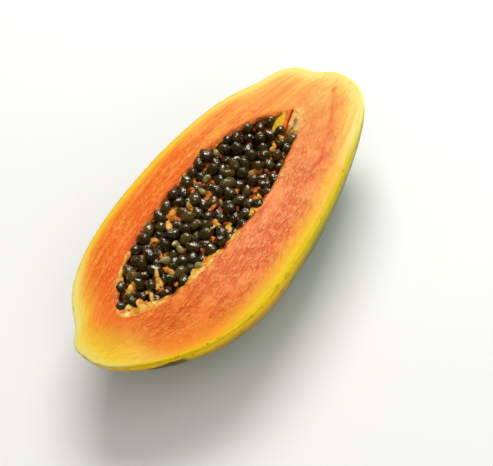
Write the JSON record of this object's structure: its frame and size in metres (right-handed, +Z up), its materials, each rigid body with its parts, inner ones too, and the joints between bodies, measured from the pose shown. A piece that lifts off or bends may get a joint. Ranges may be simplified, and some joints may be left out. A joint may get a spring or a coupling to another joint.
{
  "type": "papaya half",
  "caption": "Half of a ripe papaya cut along its length, with dark seeds in its hollow, lying on its rounded back with the cut face up.",
  "frame": {"origin": "middle of the small flat spot under the fruit that it rests on", "axes": "+X along the fruit to the stem end, +Y across it to the side with the thinner wall, +Z up out of the cut face"},
  "size_m": [0.2144, 0.1102, 0.0512],
  "materials": {
    "skin_and_flesh": "moist orange flesh with a paler rim on the cut face, waxy yellow and green skin on the back",
    "seeds": "wet dark seeds with a glossy coat"
  },
  "bodies": {
    "root": {"fruit_half": "skin_and_flesh", "seed_cluster": "seeds"}
  },
  "joints": []
}
